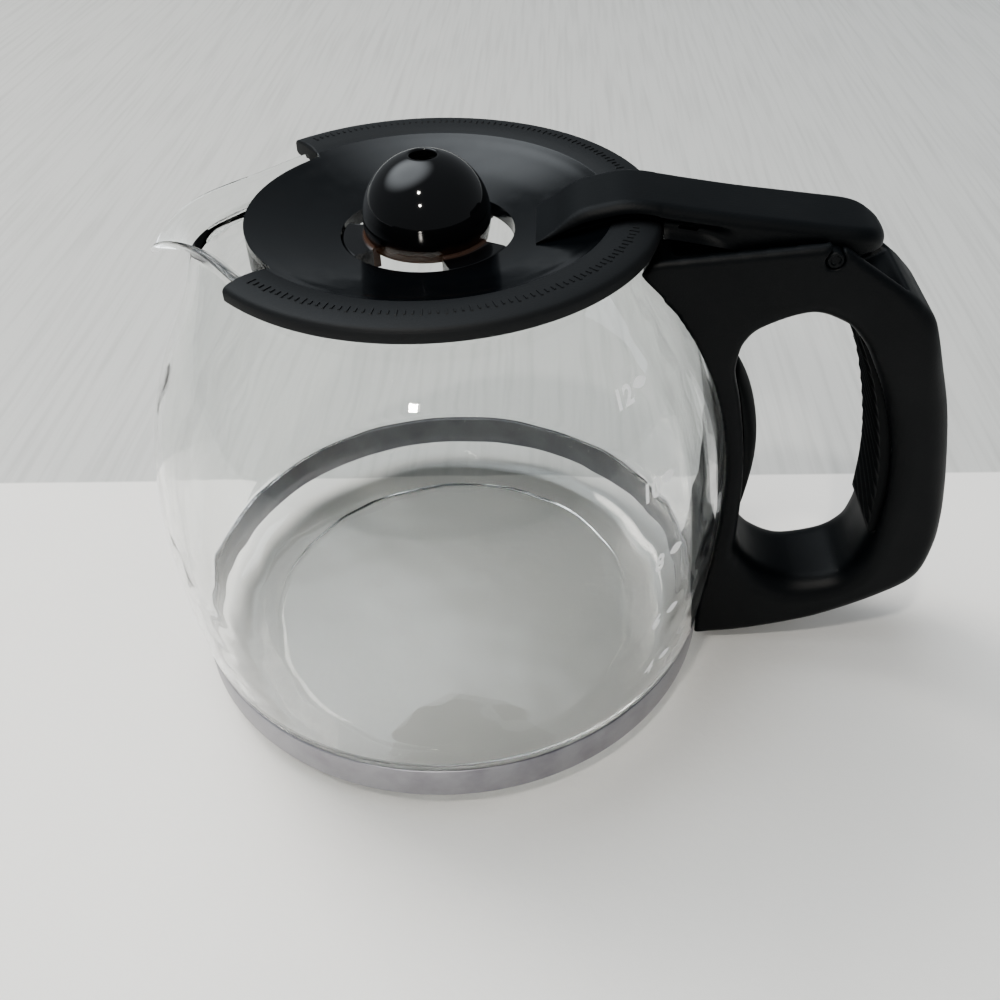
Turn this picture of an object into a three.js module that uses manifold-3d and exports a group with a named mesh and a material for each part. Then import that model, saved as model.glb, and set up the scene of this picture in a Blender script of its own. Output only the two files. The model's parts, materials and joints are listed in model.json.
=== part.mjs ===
// Glass decanter of a twelve-cup drip coffee maker: a blown glass jug with a pouring spout, a steel
// strap round its heel, a moulded handle held by that strap, and a hinged lid that the thumb tips open.
// Millimetres, +Z up. The origin is the middle of the jug's flat base, the handle points along +X and
// the spout along -X.
import * as THREE from "three";
import { mergeVertices } from "three/addons/utils/BufferGeometryUtils.js";
import Module from "manifold-3d";

const wasm = await Module();
wasm.setup();

// ---------------------------------------------------------------- driving dimensions
const gap = 0.3; // between pieces that rest on or fit into each other

const bellyRadius = 77; // jug, widest
const bellyHeight = 54; // where the belly starts to turn in
const glassWall = 2;
const baseThickness = 2.6;
const heelRadius = 10.5; // round between the base and the strap's seat
const waistRadius = 47.2; // narrowest part of the neck
const mouthRadius = 49.4; // flared rim of the mouth
const rimHeight = 132.3; // top of the glass rim
const spoutReach = 18.6; // how far the spout stands out of the rim
const spoutDrop = 10.5; // how far its lip hangs below the rim

const strapThickness = 0.6;
const strapHeight = 10.4;
const strapBottom = 7.3;
const strapRadius = 74.3; // inside of the strap

const lidRadius = 54.5; // outside of the lid's rim
const lidRimDepth = 2.9; // height of the rim's outer wall
const dishRadius = 42; // bright dish inside the rim, and its edge in the spout's cutaway
const wellRadius = 20.5; // round hole in the middle of the dish
const spoutCutaway = 44.5; // degrees to each side of the spout where the rim is cut away
const moulding = 2; // wall of the moulded lid

const domeRadius = 15;
const domeHole = 3.1;
const slotCentres = [14, 134, 254]; // degrees, middles of the three drip slots round the dome
const slotHalfAngle = 34;

const handleWidth = 28;
const handleEdge = 1.9; // rounding of the handle's long edges
const armWidth = 20;
const armEdge = 1; // rounding of the arm's long edges
const armPlay = 0.8; // to each side of the arm between the handle's ears
const pivotReach = 15.2; // hinge axis, outwards from the widest belly
const pivotDrop = 4.8; // hinge axis, below the glass rim
const pinRadius = 2;
const pinSides = 24;
const runningFit = 0.08;
const pegRadius = 2;

const gripWidth = 20;
const gripThickness = 3.2;
const gripProud = 0.6;
const gripRibs = 16;
const padWidth = 22;
const padBulge = 4.4;

const screwRadius = 1.8;
const screwHeadRadius = 3.4;
const bracketThickness = 1;
const bracketWidth = 10;

// ---------------------------------------------------------------- colours
const clearGlass = { color: 0xe8eeec, roughness: 0.03, metalness: 0, transparent: true, opacity: 0.35 };
const brushedSteel = { color: 0x9a9a9c, roughness: 0.35, metalness: 1 };
const zincSteel = { color: 0xb4b6b8, roughness: 0.4, metalness: 1 };
const glossBlack = { color: 0x0e0f10, roughness: 0.12, metalness: 0 };
const satinBlack = { color: 0x16181a, roughness: 0.48, metalness: 0 };
const softBlack = { color: 0x131415, roughness: 0.7, metalness: 0 };

// ---------------------------------------------------------------- places that follow from them
const pivot = { x: bellyRadius + pivotReach, z: rimHeight - pivotDrop };
const lidTop = rimHeight + gap; // underside of the lid where it rests on the glass rim
const dishEdge = lidTop + 1; // height of the dish's edge and of the rim's outer edge
const wellTop = dishEdge - 5.6;
const wellBottom = wellTop - 3.4;
const domeCentre = wellTop + 3.7;
const strapTop = strapBottom + strapHeight;
const strapOutside = strapRadius + strapThickness;
const channelWidth = armWidth + 2 * armPlay;
const bracketFace = strapOutside + gap;
const screwX = bracketFace + bracketThickness + 5.2;
const bracketEnd = screwX + 4.6;
const bracketBottom = strapBottom + 0.2;

// ---------------------------------------------------------------- solids
const radians = (degrees) => (degrees * Math.PI) / 180;
const at = (x, y) => new THREE.Vector2(x, y);
const points = (pairs) => pairs.map(([x, y]) => at(x, y));

// A closed three.js geometry as a manifold-3d solid, and back.
function solid(geometry) {
  const bare = geometry.clone();
  bare.deleteAttribute("normal");
  bare.deleteAttribute("uv");
  const merged = mergeVertices(bare, 1e-4);
  return new wasm.Manifold(
    new wasm.Mesh({
      numProp: 3,
      vertProperties: new Float32Array(merged.attributes.position.array),
      triVerts: new Uint32Array(merged.index.array),
    }),
  );
}

function geometryOf(body) {
  const mesh = body.getMesh();
  const geometry = new THREE.BufferGeometry();
  geometry.setAttribute("position", new THREE.BufferAttribute(new Float32Array(mesh.vertProperties), 3));
  geometry.setIndex(new THREE.BufferAttribute(new Uint32Array(mesh.triVerts), 1));
  geometry.computeVertexNormals();
  return geometry;
}

const cut = (body, ...tools) => tools.reduce((left, tool) => left.subtract(tool), body);
const join = (body, ...others) => others.reduce((sum, other) => sum.add(other), body);

// A profile of (radius, height) points turned round Z. The profile closes on itself or on the axis.
function turned(profile, segments) {
  const closed = profile[0].x === 0 ? profile : [...profile, profile[0].clone()];
  const outward = THREE.ShapeUtils.area(closed) > 0 ? closed : closed.slice().reverse();
  return new THREE.LatheGeometry(outward, segments).rotateX(Math.PI / 2);
}

// An outline in X and Z, made thick along Y with rounded long edges.
function slab(shape, width, edge = 0) {
  const depth = width - 2 * edge;
  const geometry = new THREE.ExtrudeGeometry(shape, {
    depth,
    bevelEnabled: edge > 0,
    bevelThickness: edge,
    bevelSize: edge,
    bevelOffset: -edge,
    bevelSegments: 3,
    curveSegments: 2,
  });
  return geometry.rotateX(Math.PI / 2).translate(0, depth / 2, 0);
}

// An outline in X and Y, standing from one height to another.
function standing(shape, bottom, top) {
  const geometry = new THREE.ExtrudeGeometry(shape, { depth: top - bottom, bevelEnabled: false });
  return geometry.translate(0, 0, bottom);
}

// The part of a disc that lies within halfAngle of a direction, seen from above.
function sector(direction, halfAngle, radius) {
  const shape = new THREE.Shape();
  const steps = Math.ceil(halfAngle / 6);
  shape.moveTo(0, 0);
  for (let i = -steps; i <= steps; i++) {
    const a = radians(direction + (halfAngle * i) / steps);
    shape.lineTo(radius * Math.cos(a), radius * Math.sin(a));
  }
  return shape;
}

function box(x0, x1, width, z0, z1) {
  const geometry = new THREE.BoxGeometry(x1 - x0, width, z1 - z0);
  return geometry.translate((x0 + x1) / 2, 0, (z0 + z1) / 2);
}

const crossPin = (radius, length) =>
  new THREE.CylinderGeometry(radius, radius, length, pinSides).translate(pivot.x, 0, pivot.z);

function uprightPin(x, y, radius, bottom, top) {
  const geometry = new THREE.CylinderGeometry(radius, radius, top - bottom, 20).rotateX(Math.PI / 2);
  return geometry.translate(x, y, (bottom + top) / 2);
}

// A line of points moved sideways by a distance, to the left of its direction.
function offset(line, distance) {
  return line.map((p, i) => {
    const before = line[Math.max(i - 1, 0)];
    const after = line[Math.min(i + 1, line.length - 1)];
    const along = after.clone().sub(before).normalize();
    return at(p.x - along.y * distance, p.y + along.x * distance);
  });
}

// A closed skin over a row of sections, each a closed loop of the same number of points.
function loft(sections) {
  const count = sections[0].length;
  const corners = sections.flat().flatMap((p) => [p.x, p.y, p.z]);
  const faces = [];
  for (let i = 0; i + 1 < sections.length; i++) {
    for (let j = 0; j < count; j++) {
      const [a, next] = [i * count + j, i * count + ((j + 1) % count)];
      faces.push(a, next, a + count, next, next + count, a + count);
    }
  }
  const end = (sections.length - 1) * count;
  for (let j = 1; j + 1 < count; j++) faces.push(0, j + 1, j, end, end + j, end + j + 1);
  const geometry = new THREE.BufferGeometry();
  geometry.setAttribute("position", new THREE.Float32BufferAttribute(corners, 3));
  geometry.setIndex(faces);
  return geometry;
}

const polygon = (line) => new THREE.Shape(line);
const smooth = (line, perPoint = 2) => new THREE.SplineCurve(line).getPoints(line.length * perPoint);

const object = new THREE.Group();

function piece(name, geometry, material) {
  const mesh = new THREE.Mesh(geometry, new THREE.MeshStandardMaterial(material));
  mesh.name = name;
  object.add(mesh);
}

// ---------------------------------------------------------------- glass jug
// Outside of the jug from the foot of the heel to the rim, as (radius, height).
function glassOutside() {
  const seat = strapRadius - gap;
  const heel = new THREE.EllipseCurve(
    seat - heelRadius, heelRadius, heelRadius, heelRadius, -Math.PI / 2, 0,
  ).getPoints(5);
  const belly = new THREE.CubicBezierCurve(
    at(strapOutside + gap, strapTop + 1.8),
    at(strapOutside + 1.5, strapTop + 12),
    at(bellyRadius, bellyHeight - 12),
    at(bellyRadius, bellyHeight),
  ).getPoints(3);
  const waistHeight = rimHeight - 6.4;
  const shoulder = new THREE.CubicBezierCurve(
    at(bellyRadius, bellyHeight),
    at(bellyRadius, bellyHeight + 36),
    at(waistRadius + 15.8, waistHeight - 13),
    at(waistRadius + 0.9, waistHeight),
  ).getPoints(8);
  const neck = points([
    [waistRadius, rimHeight - 4.4],
    [waistRadius + 0.8, rimHeight - 2.6],
    [mouthRadius - 0.3, rimHeight - 1.4],
    [mouthRadius, rimHeight - 0.6],
  ]);
  return [...heel, at(seat, strapTop + 0.6), ...belly, ...shoulder.slice(1), ...neck];
}

// The spout: the glass near the rim is drawn out towards -X, and its lip hangs down like a beak.
function drawSpout(geometry) {
  const start = rimHeight - 27;
  const place = geometry.attributes.position;
  for (let i = 0; i < place.count; i++) {
    const [x, y, z] = [place.getX(i), place.getY(i), place.getZ(i)];
    const rise = (z - start) / (rimHeight - start);
    if (rise > 0) {
      const radius = Math.hypot(x, y);
      const side = Math.abs(Math.atan2(y, -x)) / radians(1);
      const drawn = radius + spoutReach * Math.exp(-((side / 15.2) ** 1.6)) * rise ** 2.2;
      const hang = spoutDrop * Math.exp(-((side / 7) ** 1.3)) * rise ** 4;
      place.setXYZ(i, (x * drawn) / radius, (y * drawn) / radius, z - hang);
    }
  }
}

// Columns of the turned jug crowd together round the spout, where the glass has the tightest curves.
function crowdTowardsSpout(geometry) {
  const place = geometry.attributes.position;
  for (let i = 0; i < place.count; i++) {
    const radius = Math.hypot(place.getX(i), place.getY(i));
    const angle = Math.atan2(place.getY(i), place.getX(i));
    const moved = angle + 0.55 * Math.sin(angle);
    place.setX(i, radius * Math.cos(moved));
    place.setY(i, radius * Math.sin(moved));
  }
}

const outside = glassOutside();

function glassJug() {
  const wall = offset(outside.slice(1), glassWall)
    .filter((p) => p.y > baseThickness + 0.5)
    .map((p) => at(p.x, Math.min(p.y, rimHeight - 0.6)));
  const floorEdge = at(wall[0].x - 5, baseThickness);
  const rimTop = at(mouthRadius - glassWall / 2, rimHeight);
  const profile = [at(0, 0), ...outside, rimTop, ...wall.reverse(), floorEdge, at(0, baseThickness)];
  const geometry = turned(profile, 56);
  crowdTowardsSpout(geometry);
  drawSpout(geometry);
  return solid(geometry);
}

piece("glass_jug", geometryOf(glassJug()), clearGlass);

// Everything inside the jug's outside, swollen by a clearance, to hollow what hugs the glass.
function glassEnvelope(clearance) {
  const swollen = offset(outside, -clearance);
  const top = at(swollen[swollen.length - 1].x, rimHeight + 20);
  const bottom = [at(0, -5), at(swollen[0].x, -5)];
  return solid(turned([...bottom, ...swollen, top, at(0, rimHeight + 20)], 96));
}

// ---------------------------------------------------------------- heel strap, its bracket and screw
const strap = points([
  [strapRadius, strapBottom],
  [strapOutside, strapBottom],
  [strapOutside, strapTop],
  [strapRadius, strapTop],
]);
piece("heel_strap", turned(strap, 72), brushedSteel);

// A folded plate welded to the strap inside the handle's foot: a leaf against the strap, and a tongue
// with the screw's hole.
function strapBracket(clearance) {
  const width = bracketWidth + 2 * clearance;
  const tongueTop = bracketBottom + bracketThickness + clearance;
  const leafEnd = bracketFace + bracketThickness + clearance;
  const bottom = bracketBottom - clearance;
  const leaf = box(bracketFace - clearance, leafEnd, width, bottom, strapTop + clearance - 0.2);
  const tongue = box(bracketFace - clearance, bracketEnd + clearance, width, bottom, tongueTop);
  return join(solid(leaf), solid(tongue));
}

const screwHole = solid(uprightPin(screwX, 0, screwRadius + gap, -1, strapTop + 4));
piece("strap_bracket", geometryOf(cut(strapBracket(0), screwHole)), zincSteel);

// A pan-head screw driven up through the tongue into the handle's foot.
const headTop = bracketBottom - gap;
const screwEnd = strapTop + 1.5;
function strapScrew() {
  const profile = points([
    [0, headTop - 2.2],
    [screwHeadRadius - 1, headTop - 2.2],
    [screwHeadRadius, headTop - 1.2],
    [screwHeadRadius, headTop],
    [screwRadius, headTop],
    [screwRadius, screwEnd - 1.5],
    [0.3, screwEnd],
    [0, screwEnd],
  ]);
  const screw = solid(turned(profile, 20));
  const drive = [box(-2, 2, 0.8, -1, 1), box(-0.4, 0.4, 4, -1, 1)];
  const recess = drive.map((slot) => solid(slot.translate(0, 0, headTop - 2.2)));
  return cut(screw, ...recess).translate([screwX, 0, 0]);
}
piece("strap_screw", geometryOf(strapScrew()), zincSteel);

// ---------------------------------------------------------------- handle
const b = bellyRadius;
const r = rimHeight;

// A height along the posts, as a share of the way from the bottom of the finger loop to its top.
const loopBottom = 34;
const loopTop = r - 28;
const up = (share) => loopBottom + share * (loopTop - loopBottom);

// The inner side of the outer post, from the top of the finger loop to its bottom.
const gripLine = smooth(
  points([
    [b + 27.6, up(1) - 0.6], [b + 32.6, up(0.835)], [b + 36.6, up(0.659)],
    [b + 39.7, up(0.469)], [b + 41.2, up(0.299)], [b + 41.7, up(0.128)],
  ]),
);

// The side of the inner post that faces the fingers, from the bottom of the loop to its top.
const knuckleLine = smooth(
  points([
    [b + 5.2, up(0.1)], [b + 4.1, up(0.341)], [b + 2.7, up(0.545)], [b + 0.2, up(0.744)],
    [b - 2.6, up(0.886)],
  ]),
);

function handleOutline() {
  const shape = new THREE.Shape();
  const neckCorner = mouthRadius + 2.3;
  shape.moveTo(b - 20, 3.2);
  shape.lineTo(b - 1, 3.2);
  shape.splineThru(points([[b + 11, 5], [b + 28, 10], [b + 43, 16.4]]));
  shape.splineThru(points([[b + 53, 22.5], [b + 58.2, 29], [b + 59.9, up(0.085)]]));
  shape.splineThru(
    points([
      [b + 59.4, up(0.228)], [b + 57.9, up(0.37)], [b + 55.9, up(0.512)], [b + 53.2, up(0.669)],
      [b + 50.8, up(0.782)], [b + 47.5, up(0.907)], [b + 44, up(1) + 2.7],
    ]),
  );
  shape.splineThru(points([[b + 41.8, r - 20.8], [b + 38.6, r - 17.4], [b + 35, r - 14.3]]));
  shape.lineTo(pivot.x + 7, pivot.z - 0.8);
  shape.splineThru(points([[pivot.x + 3.2, pivot.z + 1.9], [pivot.x - 1, pivot.z + 3.5]]));
  shape.lineTo(neckCorner + 4.2, r - 6.4);
  shape.lineTo(neckCorner, r - 5.6);
  shape.lineTo(neckCorner + 1.1, r - 8.8);
  shape.lineTo(neckCorner + 5.6, r - 15.4);
  shape.lineTo(neckCorner + 5.9, r - 18.6);
  shape.lineTo(b - 20, r - 24);
  const loop = [
    ...gripLine,
    ...smooth(
      points([[b + 40, up(0) - 2.4], [b + 35, 26], [b + 23, 23.9], [b + 13.5, 28], [b + 7.6, up(0) + 0.5]]),
    ),
    ...knuckleLine,
    ...smooth(points([[b - 2, r - 28], [b + 1.8, r - 23.2], [b + 13, r - 18.9], [b + 22, r - 22]])),
  ];
  shape.holes.push(new THREE.Path(loop));
  return shape;
}

// The space between the ears that the arm turns in, open above, and the pocket under its tail.
function armChannel() {
  const floor = pivot.z - 8.6;
  const front = mouthRadius + 7.8;
  return points([
    [front, r + 10],
    [front, floor],
    [pivot.x - 6, floor],
    [pivot.x - 0.4, pivot.z - 11.6],
    [pivot.x + 3, pivot.z - 12.9],
    [pivot.x + 8, pivot.z - 13.3],
    [pivot.x + 13.5, pivot.z - 12.4],
    [pivot.x + 17.2, pivot.z - 10.4],
    [b + 34.8, r - 13],
    [b + 34.8, r + 10],
  ]);
}

// The hollow that runs from the pocket down inside the outer post.
function gripHollow() {
  const inner = offset(gripLine, gripThickness + gap + 2.2).slice(1);
  const outer = points([
    [b + 48, up(0) - 3], [b + 54.5, up(0) - 2.5], [b + 56.2, up(0.1)], [b + 54.2, up(0.363)],
    [b + 49.4, up(0.659)], [b + 43.8, up(0.886)], [b + 40.4, up(1) + 1], [b + 37.4, r - 21.5],
    [b + 34, r - 14.5], [b + 28, r - 15],
  ]);
  return [...inner, ...outer];
}

// A line of points made longer at both ends.
function lengthened(line, distance) {
  const stretch = (end, next) => end.clone().add(end.clone().sub(next).setLength(distance));
  return [stretch(line[0], line[1]), ...line, stretch(line[line.length - 1], line[line.length - 2])];
}

// Side view of the ribbed insert, or of its seat, which a clearance makes larger all round.
function insertOutline(clearance) {
  const line = clearance > 0 ? lengthened(gripLine, clearance) : gripLine;
  const back = offset(line, gripThickness + clearance);
  const front = offset(line, -gripProud - clearance).reverse();
  return polygon([...back, ...front]);
}

function handleShell() {
  const body = join(
    solid(slab(handleOutline(), handleWidth, handleEdge)),
    solid(box(waistRadius - 3, mouthRadius + 5, 14, r - 11.5, r - 6.2)), // tongue that grips the neck
  );
  const snapSlot = box(pivot.x - 1.3, pivot.x + 1.3, handleWidth + 2, pivot.z, pivot.z + 10);
  const seat = strapOutside + gap;
  return cut(
    body,
    glassEnvelope(gap),
    solid(turned(points([[0, 0], [seat, 0], [seat, strapTop + 1], [0, strapTop + 1]]), 96)),
    solid(slab(polygon(armChannel()), channelWidth)),
    solid(slab(polygon(gripHollow()), channelWidth)),
    solid(slab(insertOutline(gap), gripWidth + 2 * gap)),
    solid(crossPin((pinRadius + runningFit) / Math.cos(Math.PI / pinSides), handleWidth + 2)),
    solid(snapSlot),
    strapBracket(gap),
    screwHole,
    solid(uprightPin(screwX, 0, screwHeadRadius + 0.6, -1, bracketBottom)),
  );
}

piece("handle_shell", geometryOf(handleShell()), satinBlack);

// Soft insert on the inner side of the outer post, with slanting ribs under the fingertips.
function gripInsert() {
  const strip = solid(slab(insertOutline(0), gripWidth));
  const line = new THREE.SplineCurve(offset(gripLine, -gripProud));
  const ribs = [];
  for (let i = 0; i < gripRibs; i++) {
    const t = (i + 0.8) / (gripRibs + 0.6);
    const foot = line.getPoint(t);
    const along = line.getTangent(t);
    const rib = new THREE.CylinderGeometry(0.8, 0.8, gripWidth + 6, 8).rotateX(radians(32));
    rib.rotateY(-Math.atan2(along.y, along.x) + Math.PI).translate(foot.x, 0, foot.y);
    ribs.push(solid(rib));
  }
  const ribSpace = polygon([...offset(gripLine, 1), ...offset(gripLine, -gripProud - 2).reverse()]);
  return join(strip, join(...ribs).intersect(solid(slab(ribSpace, gripWidth - 1))));
}

piece("grip_insert", geometryOf(gripInsert()), softBlack);

// Rounded pad on the inner post, for the backs of the fingers: a half oval section that grows and
// shrinks along the post.
function knucklePad() {
  const back = offset(knuckleLine.slice(1, -1), -gap);
  const last = back.length - 1;
  const steps = 10;
  const sections = back.map((_, i) => {
    const height = 0.5 + (padBulge - 0.5) * Math.sin((Math.PI * i) / last) ** 0.6;
    const width = padWidth * (0.55 + 0.45 * Math.sin((Math.PI * i) / last) ** 0.5);
    return Array.from({ length: steps + 1 }, (_, j) => {
      const a = (Math.PI * j) / steps;
      const p = offset(back, -height * Math.sin(a))[i];
      return new THREE.Vector3(p.x, (-width / 2) * Math.cos(a), p.y);
    });
  });
  return loft(sections);
}

piece("knuckle_pad", knucklePad(), softBlack);

// ---------------------------------------------------------------- lid
// Upper face of the lid from the well to its outer edge, as (radius, height).
function lidFace() {
  return smooth(
    points([
      [wellRadius, wellTop],
      [wellRadius + 9, wellTop + 1.9],
      [dishRadius - 4, dishEdge - 1.3],
      [dishRadius, dishEdge],
      [dishRadius + 4, dishEdge + 1.1],
      [lidRadius - 4.5, dishEdge + 1.3],
      [lidRadius - 1, dishEdge + 0.7],
      [lidRadius, dishEdge - 0.3],
    ]),
    1,
  );
}

const pegs = [-5, 5].map((y) => ({ x: dishRadius - 9, y }));

function lidDish() {
  const skirtRadius = waistRadius - glassWall - 0.9;
  const rimBottom = dishEdge - lidRimDepth;
  const profile = [
    ...lidFace(),
    ...points([
      [lidRadius, rimBottom],
      [lidRadius - 1.5, rimBottom],
      [lidRadius - 1.5, lidTop],
      [skirtRadius, lidTop],
      [skirtRadius, rimHeight - 6.4],
      [skirtRadius - moulding, rimHeight - 6.4],
      [skirtRadius - moulding, dishEdge - moulding - 0.2],
      [dishRadius - 4, dishEdge - moulding - 1.4],
      [wellRadius + 9, wellTop + 1.9 - moulding],
      [wellRadius + 2, wellTop - moulding],
      [wellRadius + 2, wellBottom],
      [wellRadius, wellBottom],
    ]),
  ];
  const cutaway = cut(
    solid(standing(sector(180, spoutCutaway, lidRadius + 10), 0, rimHeight + 30)),
    solid(new THREE.CylinderGeometry(dishRadius, dishRadius, 2 * rimHeight + 80, 56).rotateX(Math.PI / 2)),
  );
  const pegHoles = pegs.map(({ x, y }) => solid(uprightPin(x, y, pegRadius + gap, 0, rimHeight + 30)));
  return cut(solid(turned(profile, 56)), cutaway, ...pegHoles);
}

piece("lid_dish", geometryOf(lidDish()), glossBlack);

// Hollow dome that stands in the well and leaves three drip slots round itself. Its three lugs hook
// under the well's lip.
function dripDome() {
  const skirt = domeRadius - 0.7;
  const ball = (radius, from, to, steps) =>
    new THREE.EllipseCurve(0, domeCentre, radius, radius, from, to, true).getPoints(steps);
  const inner = domeRadius - moulding + 0.2;
  const profile = [
    ...ball(domeRadius, Math.acos(domeHole / domeRadius), -Math.acos(skirt / domeRadius), 10),
    at(skirt, wellTop - 1.2),
    at(skirt - moulding + 0.4, wellTop - 1.2),
    ...ball(inner, Math.acos(domeHole / inner), 0, 6).reverse(),
  ];
  const lug = points([
    [skirt - 1, wellTop - 0.3],
    [wellRadius - gap, wellTop - 0.3],
    [wellRadius - gap, wellBottom - gap],
    [wellRadius + 1.8, wellBottom - gap],
    [wellRadius + 1.8, wellBottom - gap - 1.4],
    [skirt - 1, wellBottom - gap - 1.4],
  ]);
  const wedges = slotCentres.map((centre) =>
    solid(standing(sector(centre + 60, 60 - slotHalfAngle, wellRadius + 6), 0, rimHeight + 30)),
  );
  const lugs = solid(turned(lug, 56)).intersect(join(...wedges));
  return join(solid(turned(profile, 32)), lugs);
}

piece("drip_dome", geometryOf(dripDome()), glossBlack);

// ---------------------------------------------------------------- arm and hinge pin
// Side view of the arm: it rises out of the dish, bridges the rim and ends in the thumb tail.
function armSide() {
  const shape = new THREE.Shape();
  const root = wellRadius + 5;
  const bridge = lidRadius + 0.8;
  shape.moveTo(root, wellTop);
  shape.lineTo(root, wellTop + 1.6);
  shape.splineThru(
    points([
      [root + 4, wellTop + 4.4], [root + 9, wellTop + 8.4], [root + 14.5, dishEdge + 4.6],
      [lidRadius - 7, dishEdge + 5.6], [lidRadius + 6, dishEdge + 3.7], [pivot.x - 20, pivot.z + 8.1],
      [pivot.x - 4, pivot.z + 6.2], [pivot.x + 6.5, pivot.z + 4.9],
    ]),
  );
  shape.splineThru(
    points([
      [pivot.x + 10.8, pivot.z + 3.2], [pivot.x + 13, pivot.z + 0.8], [pivot.x + 12.2, pivot.z - 0.9],
    ]),
  );
  shape.lineTo(pivot.x + 7, pivot.z - 1.2);
  shape.splineThru(
    points([[pivot.x + 4.4, pivot.z - 2.4], [pivot.x, pivot.z - 4.8], [pivot.x - 4.6, pivot.z - 3.4]]),
  );
  shape.lineTo(bridge + 4, dishEdge - 4.2);
  shape.lineTo(bridge, dishEdge - 3.8);
  shape.lineTo(bridge - 4, wellTop);
  return shape;
}

// The arm seen from above: a straight root on the dish and a rounded tail.
function armPlan() {
  const half = armWidth / 2;
  const root = wellRadius + 4;
  const end = pivot.x + 13.4;
  const shape = new THREE.Shape();
  shape.moveTo(root, -half);
  shape.lineTo(end - 7, -half);
  shape.quadraticCurveTo(end, -half, end, 0);
  shape.quadraticCurveTo(end, half, end - 7, half);
  shape.lineTo(root, half);
  return shape;
}

// Everything under the lid's upper face and inside its rim, with a clearance.
function lidEnvelope(clearance) {
  const face = lidFace().map((p) => at(p.x + clearance, p.y + clearance));
  const edge = lidRadius + clearance;
  return solid(turned([at(0, 90), at(edge, 90), ...face.reverse(), at(0, wellTop)], 56));
}

function lidArm() {
  const outer = solid(slab(armSide(), armWidth, armEdge)).intersect(
    solid(standing(armPlan(), 0, rimHeight + 40)),
  );
  const hollow = points([
    [lidRadius + 3, 100],
    [lidRadius + 3, dishEdge + 1.8],
    [pivot.x - 20, pivot.z + 5.8],
    [pivot.x - 7, pivot.z + 4.2],
    [pivot.x - 7, 100],
  ]);
  const seated = cut(
    outer,
    lidEnvelope(gap),
    solid(slab(polygon(hollow), armWidth - 2 * 2.2)),
    solid(crossPin(pinRadius / Math.cos(Math.PI / pinSides) + 0.1, armWidth + 2)),
  );
  const stakes = pegs.map(({ x, y }) => solid(uprightPin(x, y, pegRadius, wellTop - 1.4, wellTop + 4)));
  return join(seated, ...stakes);
}

piece("lid_arm", geometryOf(lidArm()), satinBlack);
piece("hinge_pin", crossPin(pinRadius, handleWidth - 0.6), satinBlack);

export default object;
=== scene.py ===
import json
import math

import bmesh
import bpy
import numpy as np
from mathutils import Euler, Matrix, Vector


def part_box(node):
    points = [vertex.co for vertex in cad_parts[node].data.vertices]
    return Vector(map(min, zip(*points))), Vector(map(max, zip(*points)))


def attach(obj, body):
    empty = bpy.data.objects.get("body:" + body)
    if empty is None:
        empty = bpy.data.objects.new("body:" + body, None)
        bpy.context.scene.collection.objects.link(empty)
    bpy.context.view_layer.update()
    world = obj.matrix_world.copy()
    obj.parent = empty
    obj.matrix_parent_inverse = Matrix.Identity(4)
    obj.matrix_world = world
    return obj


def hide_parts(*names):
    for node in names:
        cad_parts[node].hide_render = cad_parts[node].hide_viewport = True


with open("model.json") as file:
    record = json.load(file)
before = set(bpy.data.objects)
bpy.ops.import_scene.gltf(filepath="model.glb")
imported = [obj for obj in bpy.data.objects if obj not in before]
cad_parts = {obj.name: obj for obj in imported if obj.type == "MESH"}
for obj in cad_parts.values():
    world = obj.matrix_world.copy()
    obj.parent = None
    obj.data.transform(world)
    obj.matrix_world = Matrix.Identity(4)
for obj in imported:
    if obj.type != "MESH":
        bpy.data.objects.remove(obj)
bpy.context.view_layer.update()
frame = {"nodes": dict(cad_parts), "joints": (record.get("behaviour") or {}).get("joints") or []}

# ------------------------------------------------------------------ table, lamps and camera
# The decanter stands on a table top of two white painted boards under a soft sky and a lamp high behind
# it on the left. The back board is grained and painted grey. The grey is painted shade that stands in for
# a white wall in shade. A weak soft box stands on the right and two small lamps in front. The camera looks
# down on it.


def srgb(code, alpha=1.0):
    """Linear colour of an sRGB hex code: each channel c becomes ((c + 0.055) / 1.055) to the power 2.4."""
    channels = np.array([int(code[i:i + 2], 16) for i in (1, 3, 5)]) / 255
    linear = np.where(channels > 0.04045, ((channels + 0.055) / 1.055) ** 2.4, channels / 12.92)
    return (*linear, alpha)


def add_node(tree, kind, settings=None, sockets=None):
    """Adds one node, with its settings and its sockets: an output is linked to, anything else is set."""
    node = tree.nodes.new(kind)
    for name, value in (settings or {}).items():
        setattr(node, name, value)
    for name, value in (sockets or {}).items():
        if isinstance(value, bpy.types.NodeSocket):
            tree.links.new(value, node.inputs[name])
        else:
            node.inputs[name].default_value = value
    return node


def new_material(name, **sockets):
    """A material with one Principled shader, whose sockets are given with _ for a space."""
    material = bpy.data.materials.new(name)
    material.use_nodes = True
    shader = material.node_tree.nodes["Principled BSDF"]
    for socket, value in sockets.items():
        shader.inputs[socket.replace("_", " ")].default_value = value
    return material, material.node_tree, shader


def object_position(tree):
    return add_node(tree, "ShaderNodeTexCoord").outputs["Object"]


def noise(tree, where, scale, detail=2.0):
    """Noise from 0 to 1 whose coarsest patches are 1 / scale metres wide."""
    return add_node(tree, "ShaderNodeTexNoise", None, {
        "Vector": where, "Scale": scale, "Detail": detail}).outputs["Fac"]


def two_tone(tree, share, first, second, start=0.0, end=1.0):
    """The first colour where the share is below start, the second above end, and a blend between."""
    ramp = add_node(tree, "ShaderNodeValToRGB", None, {"Fac": share})
    for element, position, code in zip(ramp.color_ramp.elements, (start, end), (first, second)):
        element.position, element.color = position, srgb(code)
    return ramp.outputs["Color"]


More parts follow.
